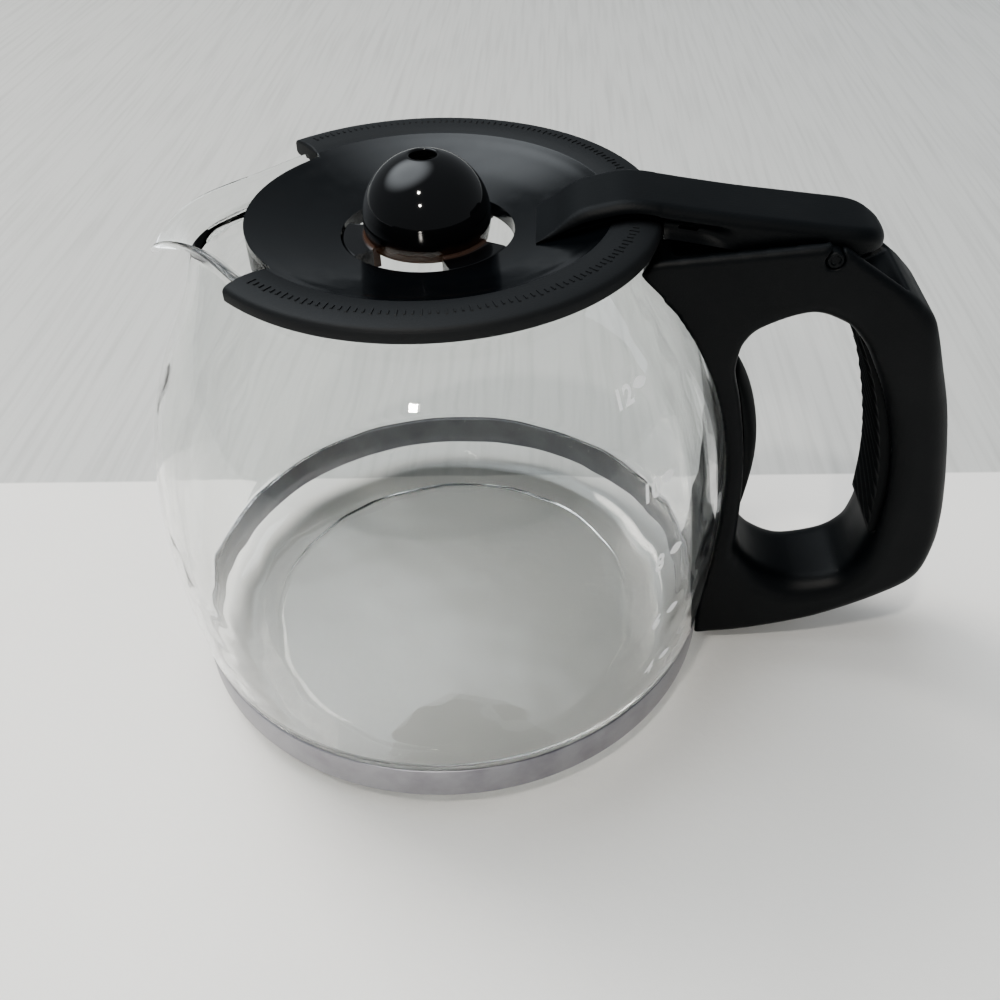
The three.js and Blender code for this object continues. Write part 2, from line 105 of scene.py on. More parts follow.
def blend(tree, share, first, second):
    """The first colour where the share is 0 and the second where it is 1, each linked or set."""
    mix = add_node(tree, "ShaderNodeMix", {"data_type": "RGBA"}, {"Factor": share})
    for socket, colour in zip(mix.inputs[6:8], (first, second)):
        if isinstance(colour, bpy.types.NodeSocket):
            tree.links.new(colour, socket)
        else:
            socket.default_value = colour
    return mix.outputs[2]


def remap(tree, value, start, end, low=0.0, high=1.0, interpolation="LINEAR"):
    """The value's way from start to end as a way from low to high, and not beyond them."""
    node = add_node(tree, "ShaderNodeMapRange", {"interpolation_type": interpolation}, {
        "Value": value, "From Min": start, "From Max": end, "To Min": low, "To Max": high})
    return node.outputs["Result"]


def calculated(tree, operation, first, second, vectors=False):
    """The number that an operation gives for two numbers or two vectors."""
    kind = "ShaderNodeVectorMath" if vectors else "ShaderNodeMath"
    node = add_node(tree, kind, {"operation": operation}, {0: first, 1: second})
    return node.outputs["Value"]


def dress(tree, shader, relief=None, **sockets):
    """Links values to the shader's sockets. A relief is (height, strength, depth in metres)."""
    if relief:
        bump = add_node(tree, "ShaderNodeBump", None, dict(zip(("Height", "Strength", "Distance"), relief)))
        sockets["Normal"] = bump.outputs["Normal"]
    for socket, value in sockets.items():
        tree.links.new(value, shader.inputs[socket.replace("_", " ")])


def placed(name, data):
    """A new object for the data, in the scene."""
    made = bpy.data.objects.new(name, data)
    bpy.context.collection.objects.link(made)
    return made


board_seam = 0.061  # metres behind the middle of the jug
seam_slope = 0.039
seam_width = 0.001


def painted_board():
    """White alkyd paint on two boards: soft sheen, roller texture about 3 mm wide, faint grey clouds. The
    back board begins at a 1 mm seam and is grey, a painted shade standing in for a white wall in shade;
    its grain of 3 mm by 100 mm shows through the paint as stripes."""
    material, tree, shader = new_material("alkyd_painted_board", Roughness=0.42)
    where = object_position(tree)
    front = two_tone(tree, noise(tree, where, 9.0, 3.0), "#dad9d6", "#e4e3e0")
    # painted shade: beyond the seam the board turns grey, its grain stripes laid on a grey that stands in
    # for a white wall in shade
    back = calculated(tree, "DOT_PRODUCT", where, (-seam_slope, 1, 0), vectors=True)
    painted_shade_share = remap(tree, back, board_seam, board_seam + seam_width)
    stretched = add_node(tree, "ShaderNodeMapping", None, {"Vector": where, "Scale": (330, 10, 1)})
    grain_on_painted_shade = two_tone(tree, noise(tree, stretched.outputs["Vector"], 1.0), "#acadab", "#b7b8b6", 0.3, 0.55)
    dress(tree, shader, (noise(tree, where, 350.0), 0.25, 0.0004),
          Base_Color=blend(tree, painted_shade_share, front, grain_on_painted_shade))
    return material


table_half = 2.5
table = placed("table_top", bpy.data.meshes.new("table_top"))
corners = [(x * table_half, y * table_half, 0) for x, y in ((-1, -1), (1, -1), (1, 1), (-1, 1))]
table.data.from_pydata(corners, [], [(0, 1, 2, 3)])
table.data.materials.append(painted_board())

camera = placed("camera", bpy.data.cameras.new("camera"))
camera.data.lens = 36.5
camera.data.sensor_width = 36
camera.data.clip_start = 0.01
camera.location = (0.0290, -0.2207, 0.2372)
camera.rotation_euler = Euler([math.radians(a) for a in (48.78, 1.11, 2.57)])
scene = bpy.context.scene
scene.camera = camera

lamps = {
    # name: (place, side in metres, watts, colour)
    "key_lamp": ((-0.75, 0.55, 1.05), 0.6, 12.0, "#fff7ee"),
    "right_box": ((1.0, 0.5, 0.6), 0.6, 2.0, "#eef4ff"),
    "front_lamp": ((-0.16, -0.55, 1.2), 0.07, 4.2, "#fffaf2"),
    "low_front_lamp": ((-0.11, -0.93, 0.93), 0.07, 3.4, "#fffaf2"),
}
lamp_target = Vector((0, 0, 0.06))
for name, (place, side, watts, colour) in lamps.items():
    lamp = placed(name, bpy.data.lights.new(name, "AREA"))
    lamp.data.size = side
    lamp.data.energy = watts
    lamp.data.color = srgb(colour)[:3]
    lamp.location = place
    lamp.visible_glossy = side < 0.1  # only the small lamps are mirrored, as two dots
    lamp.rotation_euler = (lamp_target - Vector(place)).to_track_quat("-Z", "Y").to_euler()

world = bpy.data.worlds.new("room")
world.use_nodes = True
scene.world = world
sky = world.node_tree
sky_middle = (-0.41, 0.287, 0.866)  # towards the brightest part, as a unit vector
look = add_node(sky, "ShaderNodeTexCoord").outputs["Generated"]
nearness = calculated(sky, "DOT_PRODUCT", look, sky_middle, vectors=True)
glow = remap(sky, nearness, 0.8, 0.98, 0.42, 5.4, "SMOOTHSTEP")
room_light = sky.nodes["Background"]
room_light.inputs["Color"].default_value = srgb("#cdd2d6")
sky.links.new(glow, room_light.inputs["Strength"])
scene.view_settings.look = "AgX - Medium High Contrast"
scene.cycles.max_bounces = scene.cycles.transmission_bounces = scene.cycles.glossy_bounces = 32

# ------------------------------------------------------------------ glass jug
# Blown borosilicate: a turned body whose neck is drawn out into a pouring spout while hot. The rim
# is fire-polished round, and the base is pushed in a little so that it stands on a ring.


def bezier(start, pull_start, pull_end, end, count):
    """Cubic Bezier curve through start and end, as count + 1 points."""
    t = np.linspace(0, 1, count + 1)[:, None]
    corners = [np.array(p, float) for p in (start, pull_start, pull_end, end)]
    weights = [(1 - t) ** 3, 3 * t * (1 - t) ** 2, 3 * t ** 2 * (1 - t), t ** 3]
    return sum(w * p for w, p in zip(weights, corners))


def arc(centre, radius, start, end, count):
    """Points on a circle between two angles in degrees."""
    a = np.radians(np.linspace(start, end, count + 1))
    return np.array(centre) + radius * np.stack([np.cos(a), np.sin(a)], 1)


def spline(points, per_span):
    """Catmull-Rom curve through all the points, with its first and last point doubled."""
    p = np.array(points, float)
    p = np.vstack([p[:1], p, p[-1:]])
    t = np.linspace(0, 1, per_span, endpoint=False)[None, :, None]
    a, b, c, d = (p[i:len(p) - 3 + i, None] for i in range(4))
    curve = b + t * (c - a) / 2 + t ** 2 * (a - 2.5 * b + 2 * c - d / 2)
    curve += t ** 3 * (1.5 * (b - c) + (d - a) / 2)
    return np.vstack([curve.reshape(-1, p.shape[1]), p[-1:]])


def sideways(line, distance):
    """A line of points moved to the left of its own direction by a distance."""
    along = np.gradient(line, axis=0)
    along /= np.linalg.norm(along, axis=1)[:, None]
    return line + np.stack([-along[:, 1], along[:, 0]], 1) * np.reshape(distance, (-1, 1))


def skin(name, rows, closed_rows=True, closed_columns=False):
    """A mesh over a grid of points in millimetres, rows by columns. Neighbours are joined by four-sided
    faces, doubled points are merged, faces are turned outwards and edges over 40 degrees stay sharp."""
    count, width = rows.shape[:2]
    index = np.arange(count * width).reshape(count, width)
    if closed_rows:
        index = np.hstack([index, index[:, :1]])
    if closed_columns:
        index = np.vstack([index, index[:1]])
    faces = np.stack([index[:-1, :-1], index[:-1, 1:], index[1:, 1:], index[1:, :-1]], -1).reshape(-1, 4)
    return solid_from(name, rows.reshape(-1, 3), faces.tolist())


def solid_from(name, points, faces):
    """A mesh object from points in millimetres and faces, cleaned as skin() says."""
    mesh = bpy.data.meshes.new(name)
    mesh.from_pydata((np.asarray(points) / 1000).tolist(), [], faces)
    shape = bmesh.new()
    shape.from_mesh(mesh)
    bmesh.ops.remove_doubles(shape, verts=shape.verts, dist=2e-6)
    bmesh.ops.dissolve_degenerate(shape, edges=shape.edges, dist=1e-6)
    bmesh.ops.recalc_face_normals(shape, faces=shape.faces)
    shape.to_mesh(mesh)
    shape.free()
    made = placed(name, mesh)
    smooth_shaded(made)
    return made


def smooth_shaded(made, sharp_over=40):
    made.data.polygons.foreach_set("use_smooth", np.ones(len(made.data.polygons), bool))
    made.data.set_sharp_from_angle(angle=math.radians(sharp_over))


def turned(profile, columns=192, angles=None):
    """A profile of (radius, height) points turned about the vertical axis: x = r cos a, y = r sin a."""
    a = np.linspace(0, 2 * np.pi, columns, endpoint=False) if angles is None else angles
    r, z = profile[:, 0, None], profile[:, 1, None]
    return np.stack([r * np.cos(a), r * np.sin(a), z + 0 * a], -1)


def install(made, material, body, slot, *nodes):
    """Gives a piece its material and its moving body, and hides the CAD nodes it stands for. The slot is
    not used."""
    made.data.materials.clear()
    made.data.materials.append(material)
    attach(made, body)
    if nodes:
        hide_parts(*nodes)
    return made


def cad_box(node):
    """The low and the high corner of a CAD node's box in millimetres."""
    return [np.array(corner) * 1000 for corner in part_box(node)]


jug_high = cad_box("glass_jug")[1]
strap_low, strap_high = cad_box("heel_strap")
gap = 0.3
belly = jug_high[0]
rim = jug_high[2]
glass_wall = 2.0
base_thickness = 2.6
push_up = 0.9  # rise of the middle of the base
standing_ring = 57.0  # inner radius of the ring that the jug stands on
heel_radius = 10.5
strap_thickness = 0.6
strap_outside = strap_high[0]
glass_seat = strap_outside - strap_thickness - gap
belly_height = 54.0
waist = 47.2
mouth = 49.4
spout_height = 27.0  # how far under the rim the spout begins
spout_reach = 18.6
spout_drop = 10.5


def jug_outside():
    """Outside of the jug from the foot of the heel to just under the rim, as (radius, height)."""
    heel = arc((glass_seat - heel_radius, heel_radius), heel_radius, -90, 0, 14)
    seat_top = strap_high[2] + 0.6
    seat = np.stack([np.full(5, glass_seat), np.linspace(heel_radius + 1, seat_top, 5)], 1)
    lower = bezier(
        (strap_outside + gap, strap_high[2] + 1.8), (strap_outside + 1.5, strap_high[2] + 12),
        (belly, belly_height - 12), (belly, belly_height), 14)
    shoulder = bezier(
        (belly, belly_height), (belly, belly_height + 36),
        (waist + 15.8, rim - 19.4), (waist + 0.9, rim - 6.4), 44)
    neck = spline([
        (waist + 0.9, rim - 6.4), (waist, rim - 4.4), (waist + 0.8, rim - 2.6), (mouth, rim - 1)], 5)
    return np.vstack([heel, seat, lower, shoulder[1:], neck[1:]])


def spout_drawn(place, inner):
    """Near the rim, within about 15 degrees of -X, the radius grows by the reach times the height's
    share to the power 2.2, and within 7 degrees the lip hangs by the drop times its fourth power.
    The inner face, where inner is 1, grows by 5 per cent more, as drawn glass gets thinner."""
    x, y, z = np.moveaxis(place, -1, 0)
    rise = np.clip((z - (rim - spout_height)) / spout_height, 0, None)
    radius = np.maximum(np.hypot(x, y), 1e-6)
    side = np.degrees(np.abs(np.arctan2(y, -x)))
    reach = spout_reach * (1 + 0.05 * inner[:, None]) * rise ** 2.2
    grow = 1 + reach * np.exp(-(side / 15.2) ** 1.6) / radius
    hang = spout_drop * np.exp(-(side / 7) ** 1.3) * rise ** 4
    return np.stack([x * grow, y * grow, z - hang], -1)


def borosilicate():
    """Clear borosilicate glass: IOR 1.473, no tint to speak of, and the slow ripple of blown glass,
    20 mm from crest to crest, that bends what is seen through it."""
    material, tree, shader = new_material(
        "blown_borosilicate_glass", Base_Color=srgb("#fefffe"), Roughness=0.0, IOR=1.473,
        Transmission_Weight=1.0)
    dress(tree, shader, (noise(tree, object_position(tree), 50.0, 1.0), 0.35, 0.0012))
    return material


outside = jug_outside()


def jug_surface():
    """Base from the axis outwards, outside up, round bead, inside down, and floor back to the axis."""
    underside = np.append(np.linspace(0, standing_ring - 3, 11), standing_ring - np.array([1.6, 0.8, 0]))
    dished = push_up * np.cos(np.pi / 2 * underside / standing_ring) ** 2
    pressed = 0.6 * np.clip((standing_ring - underside) / 1.6, 0, 1)
    base = np.stack([underside, dished + pressed], 1)
    climb = np.clip(outside[:, 1] / heel_radius, 0, 1)
    inside = sideways(outside, base_thickness + (glass_wall - base_thickness) * climb)
    inside = inside[inside[:, 1] < rim - 1.1]
    bead = arc((mouth - 1, rim - 1), 1.0, 10, 170, 8)
    floor = np.stack([underside, base_thickness + dished], 1)
    profile = np.vstack([base, outside, bead, inside[::-1], floor[::-1]])
    even = np.linspace(-np.pi, np.pi, 288, endpoint=False)
    rows = turned(profile, angles=even + 0.55 * np.sin(even))
    lip = len(base) + len(outside)
    inner = np.interp(np.arange(len(profile)), [lip, lip + 8], [0, 1])
    return spout_drawn(rows, inner)


clear_glass = borosilicate()
install(skin("blown_jug", jug_surface()), clear_glass, "jug", "clear_glass", "glass_jug")


# ------------------------------------------------------------------ cup scale
# White ceramic ink fired on the outside of the glass beside the handle: the even numbers of cups from
# 4 to 12, each with a small leaf-shaped level mark.


def ceramic_ink():
    """Fired white enamel ink: chalky, a shade greyer where the screen print is thin, grain 0.3 mm."""
    material, tree, shader = new_material("fired_white_ceramic_ink", Roughness=0.55)
    dress(tree, shader, Base_Color=two_tone(
        tree, noise(tree, object_position(tree), 3000.0), "#eef0ef", "#ffffff"))
    return material


print_lift = 0.05  # clear of the glass, so that the faces don't flicker
ink_thickness = 0.04
leaf_distance = 6.6  # from the middle of the number to the middle of its leaf


def on_glass(flat, azimuth, height):
    """Wraps points (across, up, out) in millimetres round the jug: the angle grows by across / radius,
    the height by up times the slope of the glass, and the radius is the glass's own plus out."""
    across, up, out = flat.T
    place = np.interp(height, outside[:, 1], outside[:, 0])
    above = np.interp(height + 1, outside[:, 1], outside[:, 0])
    z = height + up / math.hypot(1, above - place)
    radius = np.interp(z, outside[:, 1], outside[:, 0]) + print_lift + out
    angle = math.radians(azimuth) + across / place
    return np.stack([radius * np.cos(angle), radius * np.sin(angle), z], 1)


def numeral(text, azimuth, height):
    """A slanted number as a thin closed body, wrapped on the glass."""
    letters = bpy.data.curves.new("numeral", "FONT")
    letters.body = text
    letters.size = 6.0
    letters.shear = 0.2
    letters.offset = 0.2
    letters.extrude = ink_thickness / 2
    letters.align_x = "CENTER"
    letters.resolution_u = 4
    source = placed("numeral", letters)
    flat = bpy.data.meshes.new_from_object(source.evaluated_get(bpy.context.evaluated_depsgraph_get()))
    points = np.array([v.co for v in flat.vertices])
    faces = [list(polygon.vertices) for polygon in flat.polygons]
    bpy.data.objects.remove(source)
    return solid_from("cup_number_" + text, on_glass(points, azimuth, height), faces)


def level_mark(text, azimuth, height):
    """A leaf 5 mm long. Each half is 1.3 mm high times the sine of the way along, to the power 0.8."""
    share = np.concatenate([np.linspace(0, 1, 17), np.linspace(1, 0, 17)[1:-1]])
    side = np.repeat([1, -1], [17, 15])
    outline = np.stack([5.0 * (share - 0.5), 1.3 * side * np.sin(np.pi * share) ** 0.8], 1)
    outline = np.hstack([outline, 0 * outline[:, :1]])
    rings = [outline * size + (0, 0, out) for size, out in (
        (0, 0), (0.5, 0), (1, 0), (1, ink_thickness), (0.5, ink_thickness), (0, ink_thickness))]
    rows = np.stack([on_glass(ring, azimuth, height) for ring in rings])
    return skin("cup_level_" + text, rows)


ink = ceramic_ink()
scale_azimuth = -43.5
for text, height in (("12", 108.6), ("10", 88.0), ("8", 68.6), ("6", 49.0), ("4", 31.0)):
    install(numeral(text, scale_azimuth, height), ink, "jug", None)
    beside = math.degrees(leaf_distance / np.interp(height, outside[:, 1], outside[:, 0]))
    install(level_mark(text, scale_azimuth + beside, height + 2.4), ink, "jug", None)

# ------------------------------------------------------------------ heel strap
# A strip of brushed stainless steel drawn tight round the heel. Its long edges are rolled a little,
# and it has dulled and spotted from years on the hot plate.


def stainless():
    """Brushed stainless: lines along the strip, stretched 60 times, over slow dull clouds of 8 mm."""
    material, tree, shader = new_material("brushed_stainless_strip", Metallic=1.0)
    where = object_position(tree)
    stretched = add_node(tree, "ShaderNodeMapping", None, {"Vector": where, "Scale": (1, 1, 60)})
    clouds = noise(tree, where, 120.0, 4.0)
    dress(tree, shader, (noise(tree, stretched.outputs["Vector"], 40.0, 3.0), 0.3, 0.0001),
          Base_Color=two_tone(tree, clouds, "#8e8c92", "#a4a3a8", 0.25, 0.6),
          Roughness=remap(tree, clouds, 0.3, 0.7, 0.33, 0.42))
    return material


def strap_section():
    """Section of the strip as (radius, height): flat faces, half-round edges."""
    half = strap_thickness / 2
    middle = strap_outside - half
    top = arc((middle, strap_high[2] - half), half, 0, 180, 8)
    bottom = arc((middle, strap_low[2] + half), half, 180, 360, 8)
    return np.vstack([top, bottom])


strap = skin("steel_strap", turned(strap_section(), 240), closed_columns=True)
install(strap, stainless(), "jug", "brushed_steel", "heel_strap")

# ------------------------------------------------------------------ strap bracket and screw
# Inside the handle's foot a folded zinc-plated plate is welded to the strap, and a pan-head screw
# with a cross recess draws it up into the foot.


def zinc_plate():
    """Bright zinc plating: pale, patchy with crystals about 2 mm across."""
    material, tree, shader = new_material("zinc_plated_steel", Metallic=1.0)
    crystals = add_node(tree, "ShaderNodeTexVoronoi", None, {
        "Vector": object_position(tree), "Scale": 500.0}).outputs["Distance"]
    dress(tree, shader, Base_Color=two_tone(tree, crystals, "#a9acb0", "#cdd0d3"),
          Roughness=remap(tree, crystals, 0, 1, 0.28, 0.45))
    return material


zinc = zinc_plate()
frame["nodes"]["strap_bracket"].data.materials.clear()
frame["nodes"]["strap_bracket"].data.materials.append(zinc)

screw_low, screw_high = cad_box("strap_screw")
screw_x = (screw_low[0] + screw_high[0]) / 2
screw_head = (screw_high[0] - screw_low[0]) / 2


def baked_mesh(made):
    """Makes the modifiers of a piece part of its mesh."""
    mesh = bpy.data.meshes.new_from_object(made.evaluated_get(bpy.context.evaluated_depsgraph_get()))
    made.modifiers.clear()
    made.data = mesh
    return made


def carved(made, *tools):
    """Cuts tools out of a closed piece, one after the other, and removes them."""
    for tool in tools:
        cut = made.modifiers.new("cut", "BOOLEAN")
        cut.operation = "DIFFERENCE"
        cut.solver = "EXACT"
        cut.object = tool
        baked_mesh(made)
        bpy.data.objects.remove(tool)
    smooth_shaded(made)
    return made


def prism(name, outline, half_thick):
    """An outline of (x, z) points in millimetres, made thick along y to both sides of y = 0."""
    count = len(outline)
    sides = [np.insert(outline, 1, side * half_thick, axis=1) for side in (-1, 1)]
    ring = np.arange(count)
    walls = np.stack([ring, np.roll(ring, -1), np.roll(ring, -1) + count, ring + count], 1).tolist()
    return solid_from(name, np.vstack(sides), [ring.tolist(), (ring + count).tolist(), *walls])


def screw_section():
    """Pan head, thread of 0.9 mm pitch drawn as rings, and a pointed end, as (radius, height)."""
    bottom, top = screw_low[2], screw_high[2]
    shank, pitch = 1.8, 0.9
    head = [(0, bottom), (screw_head - 1.2, bottom), (screw_head - 0.5, bottom + 0.25),
            (screw_head, bottom + 1.0), (screw_head, bottom + 2.2), (shank, bottom + 2.2)]
    rings = int((top - bottom - 5.5) / pitch)
    thread = [(shank - 0.45 * (k % 2), bottom + 3 + k * pitch / 2) for k in range(2 * rings + 1)]
    return np.array([*head, *thread, (0.3, top), (0, top)])


cross = [(-1.9, -0.4), (-0.4, -0.4), (-0.4, -1.9), (0.4, -1.9), (0.4, -0.4), (1.9, -0.4),
         (1.9, 0.4), (0.4, 0.4), (0.4, 1.9), (-0.4, 1.9), (-0.4, 0.4), (-1.9, 0.4)]
recess = np.array([[(x, y, screw_low[2] + z) for x, y in cross] for z in (-1.0, 1.2)])
recess = np.concatenate([recess[:1] * (0, 0, 1), recess, recess[1:] * (0, 0, 1)])
screw = carved(skin("foot_screw", turned(screw_section(), 40)), skin("recess", recess))
screw.data.transform(Matrix.Translation((screw_x / 1000, 0, 0)))
install(screw, zinc, "jug", "zinc_steel", "strap_screw")

# ------------------------------------------------------------------ handle
# One black polypropylene moulding: two posts round the finger loop, with soft round edges where the
# hand closes on it. Its neck hooks under the glass rim and carries two ears for the hinge pin, and a
# pocket behind them takes the lid's thumb tail.

hinge = frame["joints"][0]
pin_x, pin_z = (1000 * hinge["pos_m"][i] for i in (0, 2))
half_width = cad_box("handle_shell")[1][1]
arm_half = cad_box("lid_arm")[1][1]
channel_half = arm_half + 0.8
loop_bottom = 34.0
loop_top = rim - 28


def up(share):
    """Height along the posts, as a share of the way from the bottom of the finger loop to its top."""
    return loop_bottom + share * (loop_top - loop_bottom)


grip_line = spline([
    (belly + 27.6, up(1) - 0.6), (belly + 32.6, up(0.835)), (belly + 36.6, up(0.659)),
    (belly + 39.7, up(0.469)), (belly + 41.2, up(0.299)), (belly + 41.7, up(0.128))], 12)
knuckle_line = spline([
    (belly + 5.2, up(0.1)), (belly + 4.1, up(0.341)), (belly + 2.7, up(0.545)), (belly + 0.2, up(0.744)),
    (belly - 2.6, up(0.886))], 12)


def satin_black():
    """Black polypropylene from a spark-eroded mould: fine grain of 0.4 mm, drawn a little coarser than
    it is so that it shows, and slow shine where hands have polished it."""
    material, tree, shader = new_material(
        "spark_grained_polypropylene", Base_Color=srgb("#05080b"), Specular_IOR_Level=0.2)
    where = object_position(tree)
    dress(tree, shader, (noise(tree, where, 2400.0), 0.35, 0.00012),
          Roughness=remap(tree, noise(tree, where, 45.0, 3.0), 0.3, 0.7, 0.4, 0.52))
    return material


def handle_outer():
    """Outer outline of the handle from the neck's corner round the outer post to the foot, and the
    stretch up the glass back to the neck, each as (x, z)."""
    corner = mouth + 2.3
    ear = spline([
        (pin_x - 1, pin_z + 3.5), (pin_x + 3.2, pin_z + 1.9), (pin_x + 7, pin_z - 0.8),
        (belly + 35, rim - 14.3), (belly + 38.6, rim - 17.4), (belly + 41.8, rim - 20.8),
        (belly + 44, up(1) + 2.7), (belly + 47.5, up(0.907)), (belly + 50.8, up(0.782)),
        (belly + 53.2, up(0.669)), (belly + 55.9, up(0.512)), (belly + 57.9, up(0.37)),
        (belly + 59.4, up(0.228)), (belly + 59.9, up(0.085)), (belly + 58.2, 29), (belly + 53, 22.5),
        (belly + 43, 16.4), (belly + 28, 10), (belly + 11, 5), (belly - 1, 3.2)], 6)
    roof = np.linspace((corner, rim - 5.6), (pin_x - 1, pin_z + 3.5), 24, endpoint=False)
    foot_top = strap_high[2] + 1
    heel = np.stack([np.full(12, strap_outside + gap), np.linspace(3.2, foot_top, 12)], 1)
    z = np.linspace(foot_top + 0.5, rim - 8.8, 80)
    glass = np.stack([np.interp(z, outside[:, 1], outside[:, 0]) + gap, z], 1)
    return np.vstack([roof, ear]), np.vstack([heel, glass])


def around(outline, centre, angles):
    """Points where rays from the centre at the given angles meet an outline that goes once round it."""
    spoke = outline - centre
    turn = np.unwrap(np.arctan2(spoke[:, 1], spoke[:, 0]))
    if turn[-1] < turn[0]:
        turn, spoke = turn[::-1], spoke[::-1]
    lap = 2 * np.pi
    turn, reach = np.concatenate([turn - lap, turn, turn + lap]), np.tile(np.hypot(*spoke.T), 3)
    order = np.argsort(turn)
    reach = np.interp(angles, turn[order], reach[order])
    return centre + np.stack([np.cos(angles), np.sin(angles)], 1) * reach[:, None]


def handle_body():
    """The posts as one ring round the finger loop. A section joins each point of the outer outline to
    the loop's point on the same ray. It is a rectangle with its corners rounded, more at the loop and
    on the outer post, and where it meets the jug its end follows the glass: x = sqrt(R^2 - y^2)."""
    free, seated = handle_outer()
    outline = np.vstack([free, seated])
    on_jug = np.arange(len(outline)) >= len(free) - 1
    centre = np.array([belly + 20, up(0.48)])
    floor = spline([
        (belly + 40, up(0) - 2.4), (belly + 35, 26), (belly + 23, 23.9), (belly + 13.5, 28),
        (belly + 7.6, up(0) + 0.5)], 10)
    crook = spline([
        (belly - 2, rim - 28), (belly + 1.8, rim - 23.2), (belly + 13, rim - 18.9),
        (belly + 22, rim - 22)], 10)
    loop = np.vstack([grip_line, floor, knuckle_line, crook])
    spoke = outline - centre
    inner = around(loop, centre, np.arctan2(spoke[:, 1], spoke[:, 0]))
    depth = np.linalg.norm(outline - inner, axis=1)
    low = np.clip((70 - outline[:, 1]) / 40, 0, 1)
    post = np.clip((outline[:, 0] - belly - 30) / 20, 0, 1)
    loop_round = np.minimum(3.0 + 4.0 * np.maximum(low, post), 0.45 * depth)
    outer_round = np.minimum(np.where(on_jug, 0.8, 1.6 + 4.2 * post * (1 - 0.35 * low)), 0.45 * depth)
    quarter = np.radians(np.linspace(0, 90, 9))[None]
    reach, width = 1 - np.cos(quarter), half_width + 0 * quarter
    near = [loop_round[:, None] * reach, half_width - loop_round[:, None] * (1 - np.sin(quarter))]
    far = [depth[:, None] - outer_round[:, None] * reach[:, ::-1],
           half_width - outer_round[:, None] * (1 - np.sin(quarter[:, ::-1]))]
    flat = np.linspace(0, 1, 14)[None, 1:-1]
    side = near[0][:, -1:] + (far[0][:, :1] - near[0][:, -1:]) * flat
    across = np.linspace(1, -1, 16)[None, 1:-1]
    along = np.hstack([near[0], side, far[0]])
    y = np.hstack([near[1], half_width + 0 * side, far[1]])
    loop_end = 0 * depth[:, None] * across
    along = np.hstack([along, depth[:, None] + loop_end, along[:, ::-1], loop_end])
    y = np.hstack([y, far[1][:, -1:] * across, -y[:, ::-1], -near[1][:, :1] * across])
    share = along / depth[:, None]
    x = inner[:, :1] + (outline - inner)[:, :1] * share
    z = inner[:, 1:] + (outline - inner)[:, 1:] * share
    hollow = outline[:, :1] - np.sqrt(np.maximum(outline[:, :1] ** 2 - y ** 2, 1))
    x = x - np.where(on_jug[:, None], hollow * share ** 2, 0)
    return skin("handle_moulding", np.stack([x, y, z], -1), closed_columns=True)


def softened(made, voxel, rounds):
    """Remeshes a carved moulding in cells of the given size and relaxes it, which rounds its edges."""
    remesh = made.modifiers.new("cells", "REMESH")
    remesh.mode = "VOXEL"
    remesh.voxel_size = voxel / 1000
    relax = made.modifiers.new("relax", "SMOOTH")
    relax.factor = 0.5
    relax.iterations = rounds
    baked_mesh(made)
    made.data.polygons.foreach_set("use_smooth", np.ones(len(made.data.polygons), bool))
    return made


def arm_channel():
    """Side view of the space between the ears and of the pocket behind them."""
    floor, front = pin_z - 8.6, mouth + 7.8
    pocket = spline([
        (pin_x - 6, floor), (pin_x - 0.4, pin_z - 11.6), (pin_x + 3, pin_z - 12.9),
        (pin_x + 8, pin_z - 13.3), (pin_x + 13.5, pin_z - 12.4), (pin_x + 17.2, pin_z - 10.4)], 5)
    back = belly + 34.8
    return np.vstack([[(front, rim + 10), (front, floor)], pocket, [(back, rim - 13), (back, rim + 10)]])


pin_radius = 2.0
pin_bore = arc((pin_x, pin_z), pin_radius + 0.1, 0, 360, 40)[:-1]
snap_notch = np.array([(-1.2, 0.5), (1.2, 0.5), (1.2, 10), (-1.2, 10)]) + (pin_x, pin_z)
grip_width = 20.0
grip_thickness = 3.2
grip_proud = 0.6
grip_seat = np.vstack([
    sideways(grip_line, grip_thickness + gap), sideways(grip_line, -3.0)[::-1]])
foot_well = turned(np.array([(0, -5), (screw_head + 0.6, -5), (screw_head + 0.6, screw_low[2] + 2.2),
                                     (0, screw_low[2] + 2.2)]), 48) + (screw_x, 0, 0)
plastic = satin_black()
handle = carved(
    handle_body(), prism("channel", arm_channel(), channel_half), prism("bore", pin_bore, half_width + 3),
    prism("notch", snap_notch, half_width + 3), prism("seat", grip_seat, grip_width / 2 + 2 * gap),
    skin("foot_well", foot_well))
softened(handle, 0.7, 4)
install(handle, plastic, "jug", "satin_black", "handle_shell")

# ------------------------------------------------------------------ ribbed insert
# Soft black elastomer strip let into the inner side of the outer post. Slanting ribs on its face keep
# the fingertips from slipping.


def elastomer():
    """Soft-touch elastomer: almost no shine, a dry bloom in slow clouds, grain of 0.5 mm."""
    material, tree, shader = new_material("soft_touch_elastomer", Specular_IOR_Level=0.2)
    where = object_position(tree)
    bloom = noise(tree, where, 90.0, 4.0)
    dress(tree, shader, (noise(tree, where, 2000.0), 0.3, 0.0001),
          Base_Color=two_tone(tree, bloom, "#060809", "#0d1012"),
          Roughness=remap(tree, bloom, 0, 1, 0.55, 0.75))
    return material


rib_pitch = 3.9
rib_height = 0.8
rib_slant = math.radians(32)


